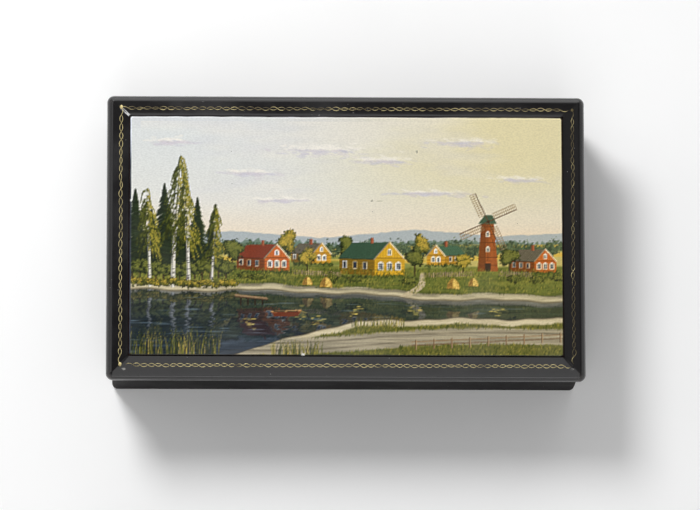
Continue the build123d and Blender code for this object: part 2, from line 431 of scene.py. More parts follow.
# Each drop of gold: the end of its side, and its half length and width.
end_dabs = {"left": ((1, 0.75, 0.60), (-1, 0.70, 0.60)), "right": ((1, 0.55, 0.50),)}
for side, (length, reach, turn, eyes, start_gap, end_gap, inwards) in braid_sides.items():
    start, stop = BAND_INSET + start_gap - length / 2, length / 2 - BAND_INSET - end_gap
    pitch = (stop - start) / eyes
    onto_band = (Matrix.Rotation(math.radians(turn), 4, "Z")
                 @ Matrix.Translation((0, (BAND_INSET - reach / 2) * MM, BAND_HEIGHT * MM))
                 @ Matrix.Rotation(BAND_SLOPE, 4, "X") @ Matrix.Translation((0, inwards * MM, 0)))
    copies = []
    for eye in range(1, eyes):
        along = start + eye * pitch + hand.normal(0, 0.07)
        over = hand.normal(0, 0.05)
        spread = (pitch / EYE_LENGTH * hand.normal(1, 0.03), hand.normal(1, 0.10))
        laid = (Matrix.Translation((along * MM, over * MM, 0))
                @ Matrix.Rotation(hand.normal(0, 0.04), 4, "Z")
                @ Matrix.Diagonal((*spread, 1, 1)))
        copy = stroke.copy()
        copy.data = stroke.data.copy()
        copy.data.transform(onto_band @ laid)
        bpy.context.collection.objects.link(copy)
        copies.append(copy)
    for end, half_long, half_wide in end_dabs.get(side, ()):
        copies.append(gold_dab(half_long, half_wide))
        copies[-1].data.transform(onto_band @ Matrix.Translation(((stop if end > 0 else start) * MM, 0, 0)))
    pick(copies)
    bpy.ops.object.join()
    braid = bpy.context.object
    braid.name = "gold_braid_" + side
    bpy.ops.object.shade_smooth()
    braid.data.materials.clear()
    braid.data.materials.append(gold)
    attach(braid, "lid")
bpy.data.objects.remove(stroke)


# Lid board
# A pressed board let into the rebate under the mouldings and glued there, red inside like the liners.
# It carries the picture panel on its upper side, where it is left dark.
BOARD_UPPER_SIDE = (35.2, 35.8)


def under_picture(look):
    return between(look, "Z", *BOARD_UPPER_SIDE)


finish("lid_board", red_lacquer("red_lacquer_lid", under_picture))


# Picture panel
# A raised panel with rounded edges, glued on the lid board inside the hollow of the mouldings.
# It is primed, painted in oil with a village on a river, and varnished; only its rounded edge stays black.
panel_low, panel_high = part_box("picture_panel")
PANEL_WIDE, PANEL_HIGH = (panel_high[0] - panel_low[0]) / MM, (panel_high[1] - panel_low[1]) / MM
PANEL_FOOT, PANEL_TOP = panel_low[2] / MM, panel_high[2] / MM
PER_MM = 8
ROWS, COLUMNS = round(PANEL_HIGH * PER_MM), round(PANEL_WIDE * PER_MM)
across = (np.arange(COLUMNS) + 0.5) / PER_MM - PANEL_WIDE / 2
upward = PANEL_HIGH / 2 - (np.arange(ROWS) + 0.5) / PER_MM
X, Y = np.meshgrid(across, upward)
canvas = np.ones((ROWS, COLUMNS, 3))
brush = np.random.default_rng(7)
# A random value between two, and one round a middle.
vary, stray = brush.uniform, brush.normal


def ease(low, high, value):
    """0 at low, 1 at high, smooth between."""
    share = np.clip((value - low) / (high - low), 0, 1)
    return share * share * (3 - 2 * share)


def mottle(wide, high, layers=3):
    """Soft random patches from 0 to 1, the largest wide by high millimetres."""
    total, weight = np.zeros((ROWS, COLUMNS)), 0.0
    for layer in range(layers):
        step_x, step_y = wide / 2**layer, high / 2**layer
        net = brush.random((int(PANEL_HIGH / step_y) + 3, int(PANEL_WIDE / step_x) + 3))
        u, v = (X + PANEL_WIDE / 2) / step_x, (PANEL_HIGH / 2 - Y) / step_y
        i, j = u.astype(int), v.astype(int)
        a, b = ease(0, 1, u - i), ease(0, 1, v - j)
        top = net[j, i] * (1 - a) + net[j, i + 1] * a
        low = net[j + 1, i] * (1 - a) + net[j + 1, i + 1] * a
        total += (top * (1 - b) + low * b) / 2**layer
        weight += 1 / 2**layer
    return total / weight


def wash(cover, colour):
    """Lays a colour over the canvas by cover, from 0 to 1. Colours are in hundredths."""
    cover = np.clip(cover, 0, 1)[..., None]
    canvas[:] = canvas * (1 - cover) + np.asarray(colour) / 100 * cover


def skyline(points, rough, step):
    """Height of a broken line across the panel, roughened at each step."""
    xs, ys = zip(*points)
    places = np.arange(-PANEL_WIDE / 2 - step, PANEL_WIDE / 2 + 2 * step, step)
    return np.interp(across, xs, ys) + np.interp(across, places, stray(0, rough, len(places)))


def below(line, soft=0.15):
    return ease(soft, -soft, Y - line)


def window(x0, x1, y0, y1):
    """The part of the canvas that holds these places."""
    left, right = np.searchsorted(across, (x0 - 0.2, x1 + 0.2))
    top, low = np.searchsorted(-upward, (-y1 - 0.2, -y0 + 0.2))
    return np.s_[top:low, left:right]


def shape(points, colour, uneven=0.0):
    """A filled polygon."""
    xs, ys = np.array(points).T
    part = window(xs.min(), xs.max(), ys.min(), ys.max())
    inside = np.zeros(X[part].shape, bool)
    for k in range(len(xs)):
        x0, y0, x1, y1 = xs[k - 1], ys[k - 1], xs[k], ys[k]
        if y0 != y1:
            crosses = (y0 > Y[part]) != (y1 > Y[part])
            inside ^= crosses & (X[part] < x0 + (Y[part] - y0) * (x1 - x0) / (y1 - y0))
    tone = np.asarray(colour) / 100 * (1 + uneven * (brush.random(inside.shape)[..., None] - 0.5))
    canvas[part] = np.where(inside[..., None], tone, canvas[part])


def block(x0, x1, y0, y1, colour, uneven=0.0):
    shape([(x0, y0), (x1, y0), (x1, y1), (x0, y1)], colour, uneven)


def line(x0, y0, x1, y1, width, colour):
    """A straight stroke."""
    length = np.hypot(x1 - x0, y1 - y0)
    side_x, side_y = (y0 - y1) / length * width / 2, (x1 - x0) / length * width / 2
    shape([(x0 - side_x, y0 - side_y), (x1 - side_x, y1 - side_y),
           (x1 + side_x, y1 + side_y), (x0 + side_x, y0 + side_y)], colour)


def dab(x, y, length, width, angle, colour, strength=0.9):
    """One touch of the brush."""
    part = window(x - length, x + length, y - length, y + length)
    dx, dy = X[part] - x, Y[part] - y
    along = dx * np.cos(angle) + dy * np.sin(angle)
    over = dy * np.cos(angle) - dx * np.sin(angle)
    cover = strength * ease(1.15, 0.75, np.hypot(along / length, over / width))[..., None]
    canvas[part] = canvas[part] * (1 - cover) + np.asarray(colour) / 100 * cover


def tinted(colours, spread=0.12):
    """One of the colours, a little lighter or darker."""
    return np.array(colours[brush.integers(len(colours))]) * vary(1 - spread, 1 + spread)


def paint_cloud(x, y, wide, high, touches):
    for _ in range(touches):
        px, py = stray(0, 0.42), stray(0, 0.36)
        colour = tinted([(76, 75, 79), (79, 76, 78)], 0.03) if py < 0.1 else (92, 90, 86)
        dab(x + wide * px, y + high * py, vary(0.8, 2.2), vary(0.2, 0.5),
            stray(-0.12, 0.15), colour, vary(0.15, 0.5))


def paint_sky():
    wash(np.ones_like(X), (86.2, 85.2, 81.5))
    wash(0.9 * ease(-10, 42, Y) * ease(60, -70, X), (82, 83.6, 83.5))
    wash(0.9 * ease(-35, 55, X) * ease(-8, 30, Y), (85, 81.2, 65))
    wash(0.8 * ease(17, -6, Y), (90.5, 83, 72.5))
    wash(0.5 * ease(5, -6, Y) * ease(-60, 50, X), (92.5, 78.5, 63.5))
    bank = mottle(46, 9, 4)
    wash(0.30 * ease(0.50, 0.72, bank) * ease(6, 22, Y), (77, 76.5, 79.5))
    lit = np.roll(bank, (14, 30), (0, 1))
    wash(0.40 * ease(0.52, 0.78, lit) * ease(2, 18, Y), (91, 88.8, 83))
    clouds = ((-8, 30, 18, 3.0, 150), (14, 26.5, 12, 2.2, 90), (-34, 22, 11, 2.0, 90), (40, 33, 14, 2.4, 100),
              (-60, 33, 10, 2.0, 70), (30, 15, 16, 1.5, 100), (-22, 12.5, 13, 1.3, 80), (60, 20, 10, 1.5, 60))
    for cloud in clouds:
        paint_cloud(*cloud)


def paint_far_country():
    hills = skyline([(-75, -2), (-40, 1.5), (-8, -0.8), (24, 2.2), (52, 0.0), (75, 1.0)], 0.12, 1.5)
    wash(below(hills), (65.5, 68.5, 69))
    wood = skyline([(-75, -3.4), (-30, -1.8), (0, -2.8), (38, -1.4), (75, -2.4)], 0.50, 0.7)
    wash(below(wood), (42.5, 50, 44.5))
    wash(0.7 * below(wood - 1.0) * mottle(3, 1.5), (30, 38, 30))
    meadow = skyline([(-75, -5.6), (-20, -4.6), (30, -4.2), (75, -5.0)], 0.06, 2.0)
    wash(below(meadow), (74, 68, 40))
    fields = (
        (-5.6, 0.8, 0.04, (82, 68, 26)),
        (-7.0, 0.9, 0.03, (47, 50, 24)),
        (-8.6, 1.1, 0.02, (84, 69, 27)),
        (-10.6, 1.4, -0.01, (43, 47, 22)),
    )
    for height, deep, slope, colour in fields:
        middle = height + slope * X + 0.8 * np.sin(X / 21 + height)
        wash(ease(deep, 0.4 * deep, np.abs(Y - middle)) * (0.55 + 0.45 * mottle(8, 0.8)), colour)
    pasture = skyline([(-75, -11), (-10, -10.5), (30, -11.5), (75, -10.5)], 0.15, 1.2)
    wash(below(pasture, 0.5), (39, 42, 18))
    wash(0.60 * below(pasture, 0.5) * ease(0.45, 0.7, mottle(9, 1.6, 4)), (55, 53, 23))
    wash(0.45 * below(pasture, 0.5) * ease(0.5, 0.72, mottle(14, 1.2, 4)), (25, 28, 12))


def paint_haystack(x, y, size):
    tall = 1.5 * size
    for share in np.linspace(0, 1, 14):
        half = size * np.sqrt(max(1 - share**1.6, 0.02))
        foot = y + share * tall
        block(x - half, x + half, foot, foot + 0.16 * size, (70, 55, 25), 0.25)
    for _ in range(int(30 * size)):
        share = brush.random()
        half = size * np.sqrt(1 - share**1.6)
        dab(x + half * vary(0.0, 0.9), y + share * tall, 0.32, 0.1, 1.2, (91, 78, 42))
        dab(x - half * vary(0.1, 0.95), y + share * tall, 0.32, 0.1, 1.9, (43, 32, 15), 0.65)
    for _ in range(int(12 * size)):
        dab(x - size * vary(-0.6, 1.6), y - 0.1, 0.5, 0.16, 0, (22, 27, 12), 0.5)


def paint_window(x, y, half, high):
    """A small window in a carved white frame with a pointed head."""
    shape([(x - half - 0.32, y - 0.28), (x + half + 0.32, y - 0.28), (x + half + 0.32, y + high + 0.15),
           (x, y + high + 0.75), (x - half - 0.32, y + high + 0.15)], (93, 90, 80))
    block(x - half, x + half, y, y + high, (17, 21, 26))
    block(x - 0.07, x + 0.07, y, y + high, (75, 73, 66))
    block(x - half, x + half, y + 0.58 * high, y + 0.58 * high + 0.13, (75, 73, 66))
    block(x - half, x - 0.1, y + 0.1, y + 0.4 * high, (42, 47, 50))


def part_way(start, end, share):
    return [a + share * (b - a) for a, b in zip(start, end)]


def paint_cottage(x, y, wide, wall, roof, way):
    """A log cottage: its gable to the viewer, its long side going back to the left (-1) or right (1)."""
    high, deep = 0.58 * wide, 1.16 * wide
    wall, roof = np.array(wall), np.array(roof)
    left, right, eaves = x - wide / 2, x + wide / 2, y + high
    peak = eaves + 0.55 * wide
    edge = x + way * wide / 2
    back, rise = edge + way * deep, 0.06 * deep
    far_eaves = y + rise + 0.92 * high
    far_ridge = (back - way * 0.42 * wide, far_eaves + 0.50 * wide)
    shade = 0.60 if way < 0 else 0.84
    shape([(edge, y), (back, y + rise), (back, far_eaves), (edge, eaves)], wall * shade, 0.10)
    for log in np.arange(0.4, high, 0.55):
        line(edge, y + log, back, y + rise + 0.92 * log, 0.13, wall * shade * 0.72)
    for share in (0.28, 0.56, 0.84):
        wx, wy = edge + way * share * deep, y + share * rise + 0.36 * high
        half, top = 0.05 * wide, wy + 0.36 * high
        block(wx - half - 0.2, wx + half + 0.2, wy - 0.2, top + 0.2, (80, 77, 68))
        block(wx - half, wx + half, wy, top, (15, 18, 22))
    eaves_end = (edge + way * 0.35, eaves - 0.35)
    far_end = (back + way * 0.3, far_eaves - 0.3)
    shape([eaves_end, far_end, far_ridge, (x, peak)], roof * (0.86 if way < 0 else 1.1), 0.16)
    for share in np.linspace(0.04, 0.97, int(1.6 * wide)):
        foot, head = part_way(eaves_end, far_end, share), part_way((x, peak), far_ridge, share)
        line(*foot, *head, 0.12, roof * vary(0.66, 0.80))
    line(*eaves_end, *far_end, 0.22, roof * 0.5)
    shape([(left, y), (right, y), (right, eaves), (x, peak), (left, eaves)], wall, 0.08)
    for log in np.arange(0.4, high, 0.55):
        block(left, right, y + log, y + log + 0.14, wall * 0.74)
    for board in np.arange(left + 0.5, right, 0.6):
        reach = peak - abs(board - x) * (peak - eaves) / (wide / 2)
        block(board - 0.06, board + 0.06, eaves, max(reach - 0.2, eaves), wall * 0.82)
    block(left, right, eaves - 0.14, eaves + 0.14, wall * 0.6)
    for sign, light in ((-1, 0.75), (1, 1.3)):
        shape([(x + sign * (wide / 2 + 0.55), eaves - 0.55), (x + sign * (wide / 2 + 0.1), eaves - 0.55),
               (x, peak - 0.2), (x, peak + 0.45)], np.array((72, 66, 54)) * light)
    panes = 3 if wide > 6.5 else 2
    for k in range(panes):
        paint_window(x + wide * (k - (panes - 1) / 2) * 0.29, y + 0.34 * high, 0.066 * wide, 0.36 * high)
    paint_window(x, eaves + 0.12 * wide, 0.045 * wide, 0.14 * wide)
    flue = x + way * 0.5 * deep
    for reach, colour in ((0.55, (62, 34, 22)), (-0.1, (42, 22, 15))):
        block(flue - 0.55, flue + reach, peak - 0.5, peak + 1.5, colour, 0.2)
    for _ in range(int(9 * wide)):
        px, py = x + way * vary(-0.6, 1.6) * wide, y - 0.2 + stray(0, 0.25)
        dab(px, py, vary(0.3, 0.8), 0.22, vary(0.6, 2.5),
            tinted([(16, 20, 9), (28, 33, 13)]), 0.8)


def paint_fence(x0, y0, x1, y1):
    line(x0, y0 + 0.5, x1, y1 + 0.5, 0.18, (40, 33, 25))
    line(x0, y0 + 1.2, x1, y1 + 1.2, 0.18, (47, 40, 31))
    for share in np.linspace(0, 1, int(abs(x1 - x0) / 0.75)):
        x, y = part_way((x0, y0), (x1, y1), share)
        block(x - 0.17, x + 0.17, y, y + vary(1.5, 1.9), tinted([(58, 50, 39)], 0.22))


def paint_mill(x, y, tall):
    """A boarded windmill: a body that narrows upwards, a cap, and four lattice sails."""
    wide, neck, top, ridge = 0.21 * tall, 0.125 * tall, y + tall, y + 1.17 * tall
    boards = np.array((70, 37, 17))
    for right, light in ((1, 1), (-0.25, 0.66)):
        shape([(x - wide, y), (x + right * wide, y), (x + right * neck, top), (x - neck, top)],
              boards * light, 0.12)
    for share in np.linspace(-0.92, 0.92, 17):
        line(x + share * wide, y, x + share * neck, top, 0.13, boards * vary(0.5, 0.72))
    for share in np.arange(0.12, 1.0, 0.16):
        half = wide + share * (neck - wide)
        block(x - half, x + half, y + share * tall, y + share * tall + 0.22, boards * 0.55)
    shape([(x - 1.5 * neck, top - 0.2), (x + 1.5 * neck, top - 0.2), (x + 0.75 * neck, ridge),
           (x - 0.5 * neck, ridge)], (25, 35, 27), 0.14)
    for share in np.linspace(-1.2, 1.2, 9):
        head = x + (0.5 * share + 0.1) * neck
        line(x + share * neck, top, head, y + 1.16 * tall, 0.13, (17, 25, 19))
    block(x - 0.28 * wide, x + 0.28 * wide, y, y + 0.17 * tall, (20, 14, 10))
    paint_window(x, y + 0.42 * tall, 0.10 * wide, 0.07 * tall)
    paint_window(x, y + 0.74 * tall, 0.09 * wide, 0.06 * tall)
    hub_x, hub_y, reach = x + 0.1 * neck, y + 1.03 * tall, 0.64 * tall
    for quarter in range(4):
        turn = np.radians(24 + 90 * quarter)
        ahead, aside = np.array((np.cos(turn), np.sin(turn))), np.array((-np.sin(turn), np.cos(turn)))
        hub = np.array((hub_x, hub_y))
        for out in np.linspace(0.24, 1.0, 12):
            foot = hub + ahead * out * reach
            line(*foot, *(foot + aside * 0.19 * reach), 0.17, (60, 50, 36))
        for over in (0.0, 0.095, 0.19):
            start = hub + ahead * 0.24 * reach + aside * over * reach
            line(*start, *(start + ahead * 0.76 * reach), 0.19, (50, 40, 28))
        line(*hub, *(hub + ahead * reach), 0.34, (33, 23, 15))
    dab(hub_x, hub_y, 0.6, 0.6, 0, (22, 15, 10))


DARK_LEAVES = [(10, 12, 6), (17, 20, 9), (27, 30, 13), (42, 43, 19)]
WARM_LEAVES = [(16, 17, 6), (29, 30, 10), (46, 43, 15), (68, 58, 22)]
FAR_LEAVES = [(20, 26, 19), (27, 34, 24), (37, 43, 29)]


def paint_leaves(clumps, leaves, touches, size):
    """Leafy clumps: dark touches on all of them first, then lighter ones towards the upper right."""
    for tone, colour in enumerate(leaves):
        share = tone / (len(leaves) - 1)
        for x, y, wide, high in clumps:
            for _ in range(int(touches * (1 - 0.5 * share))):
                px, py = stray(0.26 * share, 0.46 - 0.1 * share, 2) + (0, 0.08 * share)
                length = size * vary(0.7, 1.3) * (1 - 0.35 * share)
                dab(x + wide * px, y + high * py, length, 0.6 * length,
                    vary(0, np.pi), tinted([colour]))


def paint_tree(x, y, wide, high, leaves, touches):
    block(x - 0.25, x + 0.25, y, y + high, (20, 15, 10))
    clumps = []
    for _ in range(11):
        turn, out = vary(0, 2 * np.pi), np.sqrt(brush.random())
        clumps.append((x + 0.72 * wide * out * np.cos(turn), y + high * (1.0 + 0.40 * out * np.sin(turn)),
                       0.52 * wide, 0.22 * high))
    paint_leaves(clumps, leaves, touches // 7, 0.42)


def paint_spruce(x, y, high):
    for share in np.linspace(0, 1, int(high * 2.4)):
        half = 0.22 * high * (1 - share) * vary(0.65, 1.25) + 0.12
        for way, colour in ((-1, (10, 14, 9)), (1, (21, 25, 13)), (0.4, (13, 17, 10))):
            dab(x + way * half * 0.5, y + share * high, 0.6 * half + 0.25, 0.30,
                way * -0.5, tinted([colour], 0.2))


def paint_birch(x, y, high, lean):
    shaded, lit = [(17, 19, 7), (30, 32, 11)], [(34, 35, 12), (60, 55, 21)]
    for share in np.linspace(0, 1, 60):
        px, py, width = x + lean * share**1.5, y + share * high, 0.019 * high * (1 - 0.78 * share)
        dab(px, py, 0.02 * high, width, np.pi / 2, (86, 84, 78), 1.0)
        dab(px - 0.45 * width, py, 0.018 * high, 0.35 * width, np.pi / 2, (50, 49, 47), 0.8)
    for _ in range(int(0.7 * high)):
        share = vary(0.0, 0.8)
        px = x + lean * share**1.5 + vary(-0.15, 0.15)
        dab(px, y + share * high, 0.012 * high, 0.12, vary(-0.2, 0.2), (12, 11, 10))
    for _ in range(int(2.2 * high)):
        share = vary(0.34, 1.02)
        reach = vary(0.02, 0.12) * high * (1.3 - share) * 1.6 * brush.choice((-1, 1))
        for fall in np.linspace(0, 1, 10):
            px = x + lean * share**1.5 + reach * np.sqrt(fall)
            py = y + share * high + 0.8 - 0.12 * high * fall * fall
            dab(px, py, 0.48, 0.22, vary(0.9, 2.2), tinted(shaded if reach < 0 else lit), 0.85)


def shores(x):
    """Height of the far and the near water line."""
    far = -19.5 - 3.5 / (1 + np.exp(-(x - 10) / 12)) + 0.4 * np.sin(x / 6.5) + 0.2 * np.sin(x / 2.3)
    near = -43.5 + 14.5 / (1 + np.exp(-(x + 20) / 11)) + 0.4 * np.sin(x / 5.1) + 0.2 * np.sin(x / 1.9)
    return far, near


def paint_bank():
    far, _ = shores(X)
    strand = ease(2.9, 2.3, Y - far)
    wash(strand, (52, 49, 40))
    wash(0.8 * strand * ease(1.9, 1.0, Y - far), (76, 71, 57))
    wash(0.6 * strand * ease(0.42, 0.62, mottle(7, 0.7, 4)), (83, 78, 64))
    wash(0.75 * ease(0.7, 0.0, np.abs(Y - far - 2.7)) * mottle(2, 1), (20, 23, 10))
    wash(0.7 * ease(0.6, 0.0, np.abs(Y - far - 0.2)), (30, 27, 21))
    middle = 27 + 1.5 * np.sin(Y / 1.6) + (Y + 14) * 0.8
    half = 0.7 + 1.5 * ease(-13, -21, Y)
    path = ease(1.0, 0.75, np.abs(X - middle) / half) * ease(-12.5, -13.5, Y) * (Y > far + 0.3)
    wash(path, (74, 68, 55))
    wash(0.5 * path * ease(0.45, 0.7, mottle(3, 0.6)), (60, 54, 44))


def paint_grass():
    blades = [(27, 31, 11), (44, 44, 17), (61, 56, 24), (18, 22, 8)]
    for _ in range(3200):
        x, share = vary(-75, 75), brush.random()
        far, _ = shores(x)
        y = -11.5 + share * (far + 2.4 + 11.5)
        dab(x, y, vary(0.25, 0.6), 0.13, vary(1.1, 2.0), tinted(blades), 0.65)


def paint_river():
    """Dark water that carries a broken picture of what stands above it."""
    far, near = shores(X)
    water = (Y < far) & (Y > near)
    depth = np.clip((far - Y) / 20, 0, 1)[..., None]
    sway = ((mottle(9, 0.7, 4) - 0.5) * (1.0 + 5 * depth[..., 0]) * PER_MM).astype(int)
    rows, columns = np.indices(X.shape)
    shore_row = np.round((PANEL_HIGH / 2 - far) * PER_MM).astype(int)
    source = np.clip(shore_row - ((rows - shore_row) * 0.95).astype(int) - 10, 0, ROWS - 1)
    mirrored = canvas[source, np.clip(columns + sway, 0, COLUMNS - 1)]
    deep = mirrored * 0.50 + np.array((0.045, 0.066, 0.095))
    deep = deep * (1 - 0.7 * depth) + np.array((0.105, 0.145, 0.195)) * 0.7 * depth
    deep = deep * (0.74 + 0.52 * mottle(6, 0.35, 3)[..., None])
    glint = 0.42 * ease(0.64, 0.80, mottle(11, 0.45, 3))[..., None] * ease(0.02, 0.2, depth)
    deep = deep * (1 - glint) + np.array((0.50, 0.58, 0.65)) * glint
    canvas[:] = np.where(water[..., None], deep, canvas)
    for x, y in ((-34, -31), (-16, -27), (-10, -30), (3, -26.5), (24, -26), (52, -26.5)):
        for _ in range(14):
            px, py = x + stray(0, 1.2), y + stray(0, 1.0)
            if shores(px)[1] + 0.5 < py < shores(px)[0] - 0.5:
                dab(px, py, vary(0.4, 1.2), 0.14, 0, (83, 74, 38), vary(0.35, 0.9))


def track_at(x):
    """Height of the middle of the cart track."""
    return -38.2 + 3.6 * ease(-20, 75, x) + 0.8 * np.sin(x / 17)


def paint_near_bank():
    _, near = shores(X)
    sand = ease(0.2, -0.2, Y - near)
    wash(sand, (76, 71, 58))
    wash(0.7 * sand * ease(0.44, 0.64, mottle(8, 0.8, 4)), (85, 80, 67))
    wash(0.65 * ease(0.5, 0.0, np.abs(Y - near)), (30, 27, 22))
    turf = ease(-1.6, -2.6, Y - near + 1.2 * (mottle(4, 2) - 0.5))
    wash(turf, (37, 37, 17))
    track = track_at(X)
    road = ease(3.2, 2.4, np.abs(Y - track + 0.9 * (mottle(5, 1.5) - 0.5))) * sand
    wash(road, (58, 54.5, 46))
    wash(0.7 * road * ease(0.46, 0.62, mottle(16, 0.6, 4)), (70, 65.5, 55))
    for rut in (-1.3, 1.2):
        wash(0.7 * road * ease(0.5, 0.15, np.abs(Y - track - rut)) * mottle(6, 0.8), (33, 30, 24))
    blades = [(19, 23, 8), (37, 38, 14), (57, 53, 22), (29, 32, 12)]
    for _ in range(4200):
        x = vary(-30, 75)
        y = vary(-43, -29)
        if y < shores(x)[1] - 2.0 and abs(y - track_at(x)) > 2.6:
            dab(x, y, vary(0.3, 0.75), 0.14, vary(1.0, 2.1), tinted(blades), 0.75)


def paint_rails(x0, y0, x1, y1, posts):
    """A rail fence in front of the track."""
    for rail, colour in ((0.9, (42, 33, 24)), (2.1, (55, 45, 33))):
        line(x0 - 1.5, y0 + rail, x1 + 1.5, y1 + rail, 0.34, colour)
    for share in np.linspace(0, 1, posts):
        x, y = part_way((x0, y0), (x1, y1), share)
        block(x - 0.3, x + 0.3, y - 0.6, y + 2.9, (36, 27, 19), 0.15)
        block(x + 0.05, x + 0.3, y - 0.6, y + 2.9, (66, 55, 41), 0.1)


def paint_jetty(x, y):
    for post in (2.0, 4.5, 7.0, 9.5):
        block(x + post - 0.22, x + post + 0.22, y - 4.0, y - 1.0, (18, 14, 10))
    shape([(x, y), (x + 11, y - 1.2), (x + 11.5, y - 1.9), (x, y - 0.8)], (56, 46, 34), 0.2)
    shape([(x, y - 0.8), (x + 11.5, y - 1.9), (x + 11.5, y - 2.3), (x, y - 1.2)], (24, 18, 13), 0.2)


def paint_boat(x, y):
    hull = [(-5.2, 0.9), (5.6, 1.3), (4.2, -0.9), (-3.8, -1.0)], (40, 19, 11), 0.2
    gunwale = [(-5.2, 0.9), (5.6, 1.3), (4.9, 0.75), (-4.6, 0.4)], (72, 55, 36), 0.1
    inside = [(-4.2, 0.72), (4.6, 1.0), (4.1, 0.72), (-3.9, 0.48)], (13, 10, 8), 0.0
    for points, colour, uneven in (hull, gunwale, inside):
        shape([(x + along, y + up) for along, up in points], colour, uneven)
    block(x - 0.4, x + 0.45, y + 0.5, y + 0.92, (62, 47, 30))
    for _ in range(40):
        px, py = x + vary(-4.5, 4.5), y - 1.3 - abs(stray(0, 0.8))
        dab(px, py, vary(0.4, 1.2), 0.13, 0, (9, 9, 10), 0.6)


def paint_reeds(x0, x1, base, tall, count):
    stems = [(13, 16, 7), (27, 30, 12), (48, 46, 20), (66, 58, 28)]
    for _ in range(count):
        x, y = vary(x0, x1), base + vary(-0.8, 0.6)
        lean, high = stray(0, 0.18), tall * vary(0.45, 1.0)
        stem = tinted(stems)
        for share in np.linspace(0, 1, 7):
            dab(x + lean * high * share * share, y + high * share, 0.12 * high, 0.12 * (1.2 - share),
                np.pi / 2 - lean * share, stem, 0.85)


OCHRE, HONEY, RUST = (83, 64, 16), (80, 59, 18), (76, 39, 15)
TILE, SHINGLE, GREEN = (56, 24, 14), (43, 40, 33), (24, 36, 27)


def paint_village():
    for x in np.arange(-44, 75, 1.6):
        place = (x + stray(0, 0.5), -5.0 + stray(0, 0.7))
        paint_leaves([(*place, vary(1.3, 2.6), vary(1.4, 3.2))], FAR_LEAVES, 34, 0.45)
    paint_cottage(-8.5, -9.8, 6.4, HONEY, SHINGLE, -1)
    paint_tree(-1.0, -9.6, 2.8, 6.4, DARK_LEAVES, 260)
    paint_tree(-20.5, -9.5, 3.2, 7.2, WARM_LEAVES, 280)
    paint_cottage(31, -10.2, 6.2, HONEY, GREEN, 1)
    paint_tree(25.5, -10.6, 2.6, 7.0, WARM_LEAVES, 260)
    paint_cottage(-24, -12.6, 8.4, RUST, TILE, -1)
    paint_tree(-39.5, -12.0, 3.4, 7.0, DARK_LEAVES, 320)
    paint_cottage(15, -14.0, 10.5, OCHRE, GREEN, -1)
    paint_tree(-13.5, -12.8, 2.8, 5.2, WARM_LEAVES, 240)
    paint_tree(23.6, -14.2, 3.0, 6.6, DARK_LEAVES, 300)
    paint_mill(49, -12.4, 17)
    paint_cottage(69, -12.8, 7.4, RUST, SHINGLE, -1)
    paint_tree(56.5, -13.0, 3.0, 5.6, DARK_LEAVES, 280)
    paint_tree(40.5, -13.0, 2.4, 4.2, WARM_LEAVES, 200)
    paint_fence(-18.5, -13.6, -2, -14.4)
    paint_fence(27, -14.6, 44, -14.0)
    paint_fence(53, -14.0, 64, -14.4)
    bushes = ((-35, -14), (-31, -14.6), (-5, -15), (3, -15.4),
              (21.5, -15.8), (58, -15), (66, -15.2), (73.5, -14.6))
    for x, y in bushes:
        paint_leaves([(x, y, vary(1.8, 3.0), vary(0.9, 1.5))], DARK_LEAVES, 80, 0.40)


def paint_grove():
    spruces = ((-73, -11, 27), (-67.5, -12, 21), (-63, -11, 29),
               (-57, -11.5, 20), (-51.5, -11, 24), (-46.5, -11, 17))
    for spruce in spruces:
        paint_spruce(*spruce)
    for x in np.arange(-74, -41, 2.7):
        y = -15.5 + stray(0, 0.5)
        paint_tree(x, y, vary(2.0, 3.0), vary(3.4, 5.6), DARK_LEAVES, 130)
    for x, high, lean in ((-60, 44, 2.6), (-54.5, 37, -1.6), (-68, 33, -1.2), (-46.5, 27, 1.4)):
        paint_birch(x, -17.6, high, lean)
    for x in np.arange(-74, -38, 2.8):
        paint_leaves([(x, -16.8 + stray(0, 0.5), 2.6, 1.2)], WARM_LEAVES, 60, 0.42)


def paint_wear_and_edge_highlight():
    """Yellowed varnish at the right, painted reflection down the left edge with a painted white highlight at
    its top, a chip and small flaws.
    """
    wash(0.08 * ease(-20, 75, X), (84, 72, 38))
    from_side, from_end = PANEL_WIDE / 2 - np.abs(X), PANEL_HIGH / 2 - np.abs(Y)
    wavy = 0.3 * (mottle(4, 4) - 0.5)
    # Painted reflection and highlight: a dark blue-grey strip along the left edge, white towards its upper
    # end.
    worn = ease(0.62, 0.40, from_side + wavy) * (X < 0)
    wash(worn, (24, 26, 30))
    wash(worn * ease(20, 36, Y), (88, 90, 93))
    dab(-74.6, 12.2, 0.55, 0.40, 0.3, (90, 90, 87), 1.0)
    dab(-73.6, 12.1, 0.50, 0.16, 0.1, (33, 33, 34), 0.8)
    dab(24.5, 29.7, 0.55, 0.24, 1.9, (36, 38, 34), 0.9)
    dab(8.9, 12.4, 0.34, 0.24, 0, (30, 30, 24), 0.9)
    dab(11.6, 12.4, 1.2, 0.11, 0.05, (55, 53, 42), 0.7)
    wash(ease(0.16, 0.04, np.minimum(from_side, from_end) + wavy), (4, 4, 4))
    corner = np.hypot(np.maximum(1.1 - from_side, 0), np.maximum(1.1 - from_end, 0))
    wash(ease(0.95, 1.15, corner), (4, 4, 4))


